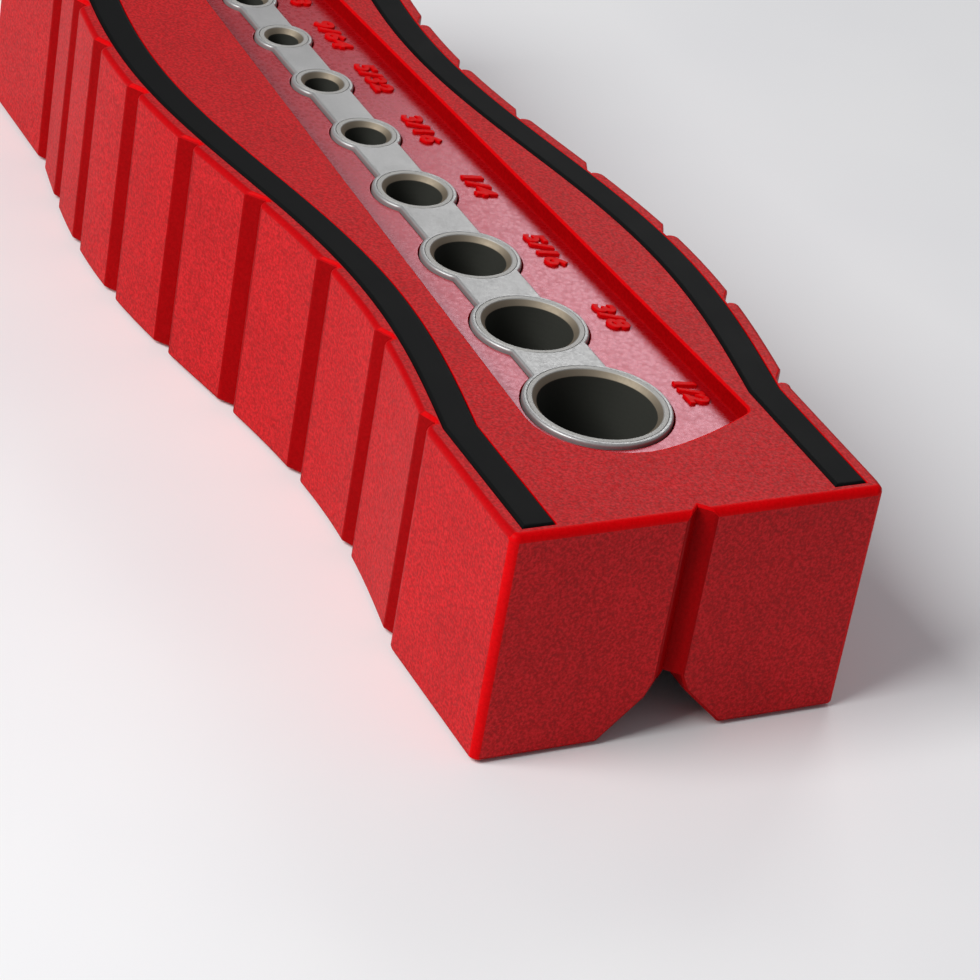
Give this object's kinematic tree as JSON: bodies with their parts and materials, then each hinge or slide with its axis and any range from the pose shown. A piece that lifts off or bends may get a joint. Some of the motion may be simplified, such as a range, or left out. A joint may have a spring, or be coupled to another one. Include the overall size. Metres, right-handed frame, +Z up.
{
  "type": "drill guide",
  "caption": "Hand-held drill guide: a waved block with a row of hardened bushings in a cast strip, rubber grip strips along the top and a V-groove underneath.",
  "frame": {"origin": "under the middle of the block, on the plane that its base pads stand on", "axes": "+X along the block towards the largest bore, +Z up along the bores"},
  "size_m": [0.1464, 0.0494, 0.0278],
  "materials": {
    "red_plastic": "fine grained moulded",
    "black_plastic": "fine grained moulded",
    "cast_metal": "satin die-cast",
    "hard_steel": "ground and hardened",
    "grip_rubber": "matte",
    "screw_steel": "zinc plated"
  },
  "bodies": {
    "root": {"housing": "red_plastic", "base_plate": "black_plastic", "guide_strip": "cast_metal", "bushing_1_2": "hard_steel", "bushing_3_8": "hard_steel", "bushing_5_16": "hard_steel", "bushing_1_4": "hard_steel", "bushing_3_16": "hard_steel", "bushing_5_32": "hard_steel", "bushing_9_64": "hard_steel", "bushing_1_8": "hard_steel", "bushing_7_64": "hard_steel", "grip_strip_left": "grip_rubber", "grip_strip_right": "grip_rubber", "base_pad_front_left": "grip_rubber", "base_pad_front_right": "grip_rubber", "base_pad_rear_left": "grip_rubber", "base_pad_rear_right": "grip_rubber", "base_screws": "screw_steel", "strip_screws": "screw_steel"}
  },
  "joints": []
}
